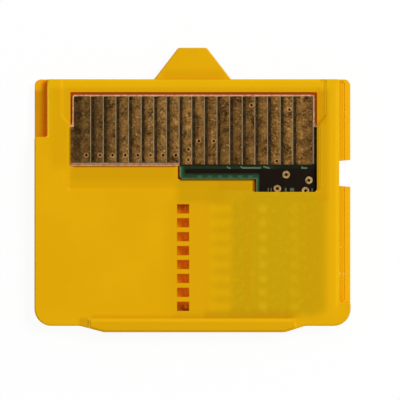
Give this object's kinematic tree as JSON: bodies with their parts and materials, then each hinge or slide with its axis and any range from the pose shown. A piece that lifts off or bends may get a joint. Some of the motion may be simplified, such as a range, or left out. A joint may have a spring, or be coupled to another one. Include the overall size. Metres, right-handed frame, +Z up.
{
  "type": "memory card adapter",
  "caption": "Thin rectangular plastic card adapter with a front tab, a window over a row of flat gold contact pads and a side slot for a smaller memory card.",
  "frame": {"origin": "centre of the bounding box's bottom face, on the label face that the adapter lies on", "axes": "+X across the 25 mm width, away from the small card's slot; +Y towards the front tab; +Z up, out of the contact face"},
  "size_m": [0.025, 0.0226, 0.0021],
  "materials": {
    "yellow_plastic": "moulded, satin",
    "laminate": "glass laminate under a green mask",
    "gold_plate": "thin gold plating, dull and grainy",
    "masked_copper": "copper under a dark mask",
    "masked_trace": "copper under a green mask",
    "dark_plastic": "moulded, matt",
    "spring_bronze": "plated spring bronze",
    "solder": "reflowed solder"
  },
  "bodies": {
    "root": {"label_shell": "yellow_plastic", "contact_shell": "yellow_plastic", "circuit_board": "laminate", "contact_pad_01": "gold_plate", "contact_pad_02": "gold_plate", "contact_pad_03": "gold_plate", "contact_pad_04": "gold_plate", "contact_pad_05": "gold_plate", "contact_pad_06": "gold_plate", "contact_pad_07": "gold_plate", "contact_pad_08": "gold_plate", "contact_pad_09": "gold_plate", "contact_pad_10": "gold_plate", "contact_pad_11": "gold_plate", "contact_pad_12": "gold_plate", "contact_pad_13": "gold_plate", "contact_pad_14": "gold_plate", "contact_pad_15": "gold_plate", "contact_pad_16": "gold_plate", "contact_pad_17": "gold_plate", "contact_pad_18": "gold_plate", "pad_vias": "gold_plate", "board_vias": "gold_plate", "ground_plane": "masked_copper", "signal_traces": "masked_trace", "solder_pads": "gold_plate", "contact_comb": "dark_plastic", "spring_contact_1": "spring_bronze", "spring_contact_2": "spring_bronze", "spring_contact_3": "spring_bronze", "spring_contact_4": "spring_bronze", "spring_contact_5": "spring_bronze", "spring_contact_6": "spring_bronze", "spring_contact_7": "spring_bronze", "spring_contact_8": "spring_bronze", "solder_joint_1": "solder", "solder_joint_2": "solder", "solder_joint_3": "solder", "solder_joint_4": "solder", "solder_joint_5": "solder", "solder_joint_6": "solder", "solder_joint_7": "solder", "solder_joint_8": "solder"}
  },
  "joints": []
}
